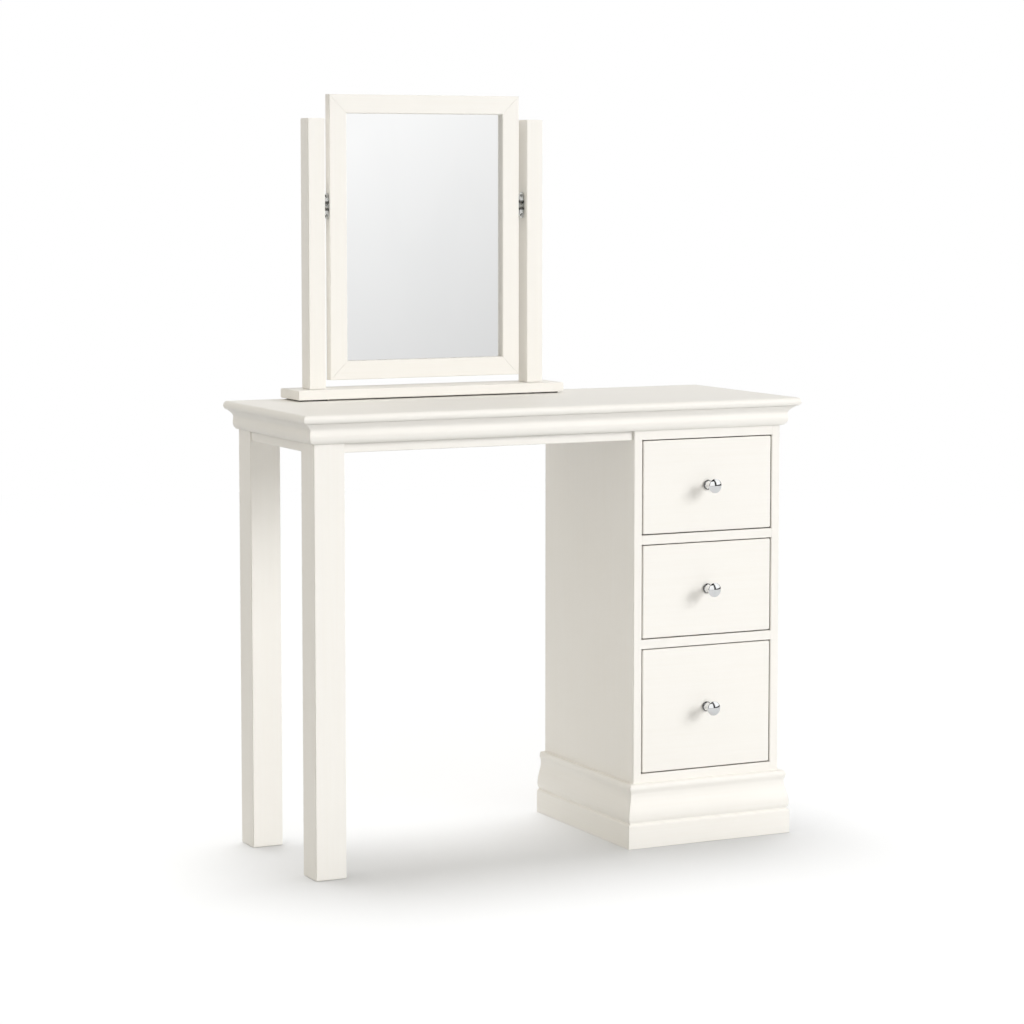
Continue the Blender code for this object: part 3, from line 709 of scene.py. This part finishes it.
for label in ("top", "middle", "bottom"):
    low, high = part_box(f"drawer_{label}_knob")
    middle = (low + high) / 2
    body = f"drawer_{label}"
    shape = turned(knobOutline(), knobLook["turns"], (middle.x, high.y, middle.z), (0, -1, 0))
    # painted shade: the faces nearest the drawer front take the darker chrome
    for face in shape.faces:
        if max(high.y - vert.co.y for vert in face.verts) < knobLook["rimShadeTall"]:
            face.material_index = 1
    newPiece(f"knob.{label}", shape, chrome, body, [f"drawer_{label}_knob"], 40.0, shadedRimChrome)
    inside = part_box(f"drawer_{label}_front")[1].y + seatGap
    hole, edge, thick = (drawerScrew[key] for key in ("hole", "washer", "washerThick"))
    ring = [(hole, 0.0), (edge, 0.0), (edge, thick), (hole, thick)]
    shape = turned(ring, drawerScrew["turns"], (middle.x, inside, middle.z), (0, 1, 0))
    newPiece(f"knobWasher.{label}", shape, screwSteel, body)
    screw(f"knobScrew.{label}", drawerScrew["head"], drawerScrew["tall"],
          (middle.x, inside + thick + seatGap, middle.z), (0, 1, 0), body)
print("knobs made")

plateScrew = {"head": 0.0036, "tall": 0.0011, "fromPivot": 0.0175, "plateThick": 0.002}

for side, way in (("left", -1), ("right", 1)):
    for part, body, facing in (("post", "table", -way), ("mirror", "mirror", way)):
        low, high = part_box(f"pivot_plate_{part}_{side}")
        middle = (low + high) / 2
        thick = plateScrew["plateThick"]  # of the plate alone, without its boss or pin
        face = low.x + thick if facing > 0 else high.x - thick
        for count, rise in enumerate((plateScrew["fromPivot"], -plateScrew["fromPivot"])):
            screw(f"plateScrew.{part}.{side}.{count}", plateScrew["head"], plateScrew["tall"],
                  (face + facing * seatGap, middle.y, middle.z + rise), (facing, 0, 0), body)
print("pivot screws made")

buttonLook = {
    "long": 0.026, "wide": 0.009, "thick": 0.0012, "ease": 0.0003, "hole": 0.0065, "steps": 10,
    "outside": 0.0080,                # backboard's edge to the screw
    "head": 0.0034, "tall": 0.0016,
    "spreadX": 0.085, "spreadZ": 0.125,
}


def buttonShape(place, along):  # a flat turn button with round ends and eased edges, lying on the back
    look = buttonLook
    straight = (look["long"] - look["wide"]) / 2
    loops = []
    for inset, rise in ((look["ease"], 0.0), (0.0, look["ease"]), (0.0, look["thick"] - look["ease"]),
                        (look["ease"], look["thick"])):
        radius = look["wide"] / 2 - inset
        ring = arcPoints((straight, 0.0), (radius, radius), -90, 90, look["steps"])
        ring += arcPoints((-straight, 0.0), (radius, radius), 90, 270, look["steps"])
        loops.append([(x, y, rise) for x, y in ring])
    shape = bmesh.new()
    loft(shape, loops)
    return stood(shape, place, (0, 1, 0), along)


def makeButtons():
    look = buttonLook
    low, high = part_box("mirror_backboard")
    middle = (low + high) / 2
    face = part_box("mirror_frame_top")[1].y + seatGap
    inward = look["long"] / 2 - look["hole"]
    places = []
    for count, spread in enumerate((-1, 1)):
        across, up = middle.x + spread * look["spreadX"], middle.z + spread * look["spreadZ"]
        places.append((f"top.{count}", (across, high.z + look["outside"]), (0, 0, -1)))
        places.append((f"bottom.{count}", (across, low.z - look["outside"]), (0, 0, 1)))
        places.append((f"left.{count}", (low.x - look["outside"], up), (1, 0, 0)))
        places.append((f"right.{count}", (high.x + look["outside"], up), (-1, 0, 0)))
    for name, (x, z), along in places:
        pin = Vector((x, face, z))
        shape = buttonShape(pin + inward * Vector(along), along)
        newPiece(f"backButton.{name}", shape, buttonSteel, "mirror")
        screw(f"buttonScrew.{name}", look["head"], look["tall"],
              pin + Vector((0, look["thick"] + seatGap, 0)), (0, 1, 0), "mirror")


makeButtons()

backScrew = {"head": 0.0034, "tall": 0.0016, "up": 0.0085, "inset": 0.020, "count": 5}
low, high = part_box("pedestal_back")
for count in range(backScrew["count"]):
    share = count / (backScrew["count"] - 1)
    x = bayLeft + backScrew["inset"] + share * (bayRight - bayLeft - 2 * backScrew["inset"])
    screw(f"backScrew.{count}", backScrew["head"], backScrew["tall"],
          (x, high.y + seatGap, low.z + backScrew["up"]), (0, 1, 0), "table")

runnerScrew = {"head": 0.0032, "tall": 0.00035, "sunk": 0.00005, "shares": (0.12, 0.50, 0.88)}
for label in ("top", "middle", "bottom"):
    for side, facing in (("left", 1), ("right", -1)):
        low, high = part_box(f"runner_{label}_{side}")
        face = high.x if facing > 0 else low.x
        for count, share in enumerate(runnerScrew["shares"]):
            x, y = face - facing * runnerScrew["sunk"], low.y + share * (high.y - low.y)
            screw(f"runnerScrew.{label}.{side}.{count}", runnerScrew["head"], runnerScrew["tall"],
                  (x, y, (low.z + high.z) / 2), (facing, 0, 0), "table")
print("backboard and runner fasteners made")

black, white = (0.0, 0.0, 0.0), (1.0, 1.0, 1.0)


def seenRays(start, glossed):  # 1 for what the camera, glass or a mirror shows, and a share for gloss
    rays = start.add("LightPath", {}, {}, out="Is Camera Ray")
    shown = rays.most(rays.beside("Is Transmission Ray")).most(rays.beside("Is Singular Ray"))
    return shown.most(rays.beside("Is Glossy Ray") * glossed)


def stageObject(name, shape, material):
    mesh = bpy.data.meshes.new(name)
    shape.to_mesh(mesh)
    shape.free()
    mesh.materials.append(material)
    made = bpy.data.objects.new(name, mesh)
    bpy.context.scene.collection.objects.link(made)
    made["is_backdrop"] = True
    return made


def stageFinish(name):
    made = bpy.data.materials.new(name)
    made.use_nodes = True
    made.node_tree.nodes.clear()
    return made, Wire(made.node_tree)


def showSurface(made, shown, kind="Material"):
    output = made.node_tree.nodes.new("ShaderNodeOutput" + kind)
    made.node_tree.links.new(shown.socket, output.inputs["Surface"])


floorLook = {
    "colour": (0.800, 0.810, 0.828),
    "glow": (0.15, 0.15, 0.15),       # only seen, lights nothing
    "shade": 0.25,                    # how near things dim that glow
    "shadeSharp": 2.0, "shadeSamples": 12,
    "far": (1.5, 6.0),                # from where to where it fades to white
    "inMetal": (0.66, 0.67, 0.69),
    "inMirror": (0.757, 0.757, 0.757),  # as the walls where they begin
    "left": (0.50, 0.50, 0.50),       # throws less light back there: painted shade, standing in for the floor's shadow on that side
    "leftFrom": (-1.1, -0.1),
    "size": 60.0,
}


def makeFloor():
    made, start = stageFinish("floorPaper")
    look = floorLook
    matt, dim, left = (start.add("BsdfDiffuse", {}, {"Color": (*look[key], 1.0)})
                       for key in ("colour", "inMetal", "left"))
    clear = start.add("AmbientOcclusion", {"samples": look["shadeSamples"]},
                      {"Distance": look["shade"]}, out="AO")
    glow = start.add("Emission", {}, {"Color": (clear ** look["shadeSharp"]).blend(black, look["glow"])})
    near = start.add("AddShader", {}, {0: matt, 1: glow})
    place = stretched(start, 0, 1.0, 1.0)
    away = start.add("VectorMath", {"operation": "LENGTH"}, {0: place}, out="Value")
    rays = start.add("LightPath", {}, {}, out="Is Singular Ray")
    far = start.add("Emission", {}, {"Color": rays.blend(white, look["inMirror"])})
    seen = start.add("MixShader", {}, {0: away.span(*look["far"]), 1: near, 2: far})
    # painted shade: the floor's bounce colour is darker to the left
    across = start.add("SeparateXYZ", {}, {0: place}).span(*look["leftFrom"])
    thrown = start.add("MixShader", {}, {0: across, 1: left, 2: matt})
    plain = start.add("MixShader", {}, {0: rays.beside("Is Glossy Ray"), 1: thrown, 2: dim})
    showSurface(made, start.add("MixShader", {}, {0: seenRays(start, 0.0), 1: plain, 2: seen}))
    shape = bmesh.new()
    bmesh.ops.create_grid(shape, x_segments=1, y_segments=1, size=look["size"])
    floor = stageObject("floor", shape, made)
    floor.location.z = -seatGap
    return floor


worldLook = {
    "sky": (0.740, 0.729, 0.702), "skyFrom": (0.45, 0.95),  # light from above
    "front": (0.290, 0.286, 0.278),
    "rear": (0.420, 0.406, 0.376), "rearFrom": (-0.4, 0.6),
    "leftLow": (0.540, 0.518, 0.462),
    "leftHigh": (1.120, 1.070, 0.953), "highFrom": (0.0, 0.6),
    "leftFrom": (-0.1, 0.9),
    "right": (0.060, 0.059, 0.056), "rightFrom": (0.3, 0.8),
}


def makeWorld():
    look = worldLook
    world = bpy.data.worlds.new("studio")
    bpy.context.scene.world = world
    world.use_nodes = True
    world.node_tree.nodes.clear()
    start = Wire(world.node_tree)
    axes = start.add("SeparateXYZ", {}, {0: start.add("TexCoord", {}, {}, out="Generated")})
    around = axes.beside("Y").span(*look["rearFrom"]).blend(look["front"], look["rear"])
    left = axes.beside("Z").span(*look["highFrom"]).blend(look["leftLow"], look["leftHigh"])
    level = (0 - axes).span(*look["leftFrom"]).blend(around, left)
    level = axes.span(*look["rightFrom"]).blend(level, look["right"])
    light = axes.beside("Z").span(*look["skyFrom"]).blend(level, look["sky"])
    lamps = start.add("Background", {}, {"Color": light})
    clean = start.add("Background", {}, {"Color": (*white, 1.0)})
    showSurface(world, start.add("MixShader", {}, {0: seenRays(start, 1.0), 1: lamps, 2: clean}), "World")


domeLook = {
    "radius": 12.0, "segments": (64, 32),
    "dark": (0.03, 0.03, 0.03),
    "leftBox": (-0.80, 0.17, 0.03, 0.70),   # bearing from the front and rise, low to high
    "rightBox": (0.53, 1.55, 0.15, 0.88),
    "boxSoft": (0.05, 0.015),
    "behind": (2.0, 2.4),
    "mirrorLow": 0.828, "mirrorClimb": 0.16, "mirrorTop": 1.6,
    "drift": 0.17, "driftTurns": 15.0, "driftFrom": 0.424,
}


def makeDome():  # what shines in the metal and the mirror; nothing else meets it
    look = domeLook
    made, start = stageFinish("studioWalls")
    axes = start.add("SeparateXYZ", {}, {0: start.add("TexCoord", {}, {}, out="Object")})
    height = axes.beside("Z")
    bearing = start.maths("ARCTAN2", axes, 0 - axes.beside("Y"))
    rise = height * (1 / look["radius"])
    softTurn, softRise = look["boxSoft"]
    boxes = [bearing.window(a, b, softTurn) * rise.window(c, d, softRise)
             for a, b, c, d in (look["leftBox"], look["rightBox"])]
    lit = boxes[0].most(boxes[1]).most(start.maths("ABSOLUTE", bearing).span(*look["behind"]))
    climb = look["mirrorLow"] + look["mirrorClimb"] * start.maths("MINIMUM", height, look["mirrorTop"])
    drift = start.maths("SINE", (bearing - look["driftFrom"]) * look["driftTurns"])
    graded = climb * (1 - look["drift"] / 2 - look["drift"] / 2 * drift)
    rays = start.add("LightPath", {}, {}, out="Is Singular Ray")
    metal, mirror = lit.blend(look["dark"], white), graded.blend(black, white)
    showSurface(made, start.add("Emission", {}, {"Color": rays.blend(metal, mirror)}))
    shape = bmesh.new()
    turns, rows = look["segments"]
    bmesh.ops.create_uvsphere(shape, u_segments=turns, v_segments=rows, radius=look["radius"])
    bmesh.ops.delete(shape, geom=[vert for vert in shape.verts if vert.co.z < -seatGap], context="VERTS")
    dome = stageObject("studioDome", shape, made)
    for ray in ("camera", "diffuse", "transmission", "volume_scatter", "shadow"):
        setattr(dome, "visible_" + ray, False)


lampLook = {
    "key": {"towards": (0.66, -0.60, 0.33), "strength": 2.02, "angle": 30.0},
    "overhead": {"towards": (0.05, 0.21, 1.0), "strength": 1.54, "angle": 30.0},
}


def makeLamp(name, picked, state):  # picked: the objects that it alone lights, or that it leaves out
    look = lampLook[name]
    lamp = bpy.data.lights.new(name, "SUN")
    lamp.energy = look["strength"]
    lamp.angle = math.radians(look["angle"])
    made = bpy.data.objects.new(name, lamp)
    made.rotation_mode = "QUATERNION"
    made.rotation_quaternion = Vector(look["towards"]).to_track_quat("Z", "Y")
    bpy.context.scene.collection.objects.link(made)
    reach = bpy.data.collections.new(name + "Reach")
    for item in picked:
        reach.objects.link(item)
    for entry in reach.collection_objects:
        entry.light_linking.link_state = state
    made.light_linking.receiver_collection = reach


floor = makeFloor()
makeLamp("key", [floor, nodes["mirror_glass"]], "EXCLUDE")
makeLamp("overhead", [floor], "INCLUDE")  # gives the floor its soft shadow
makeWorld()
makeDome()
print("stage and light made")

cameraLook = {
    "place": (-2.3606, -4.8043, 1.1782), "yaw": 0.4556, "pitch": 0.0905,
    "lens": 107.445, "sensor": 36.0,
    "shift": -0.06,                   # the photo has upright verticals, so part of its shift
}


def makeCamera():
    look = cameraLook
    lens = bpy.data.cameras.new("camera")
    lens.lens = look["lens"]
    lens.sensor_width = look["sensor"]
    lens.shift_y = look["shift"]
    camera = bpy.data.objects.new("camera", lens)
    camera.location = look["place"]
    camera.rotation_euler = (math.pi / 2 - look["pitch"], 0.0, -look["yaw"])
    bpy.context.scene.collection.objects.link(camera)
    bpy.context.scene.camera = camera


makeCamera()
bpy.context.scene.view_settings.view_transform = "Standard"

low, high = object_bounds()
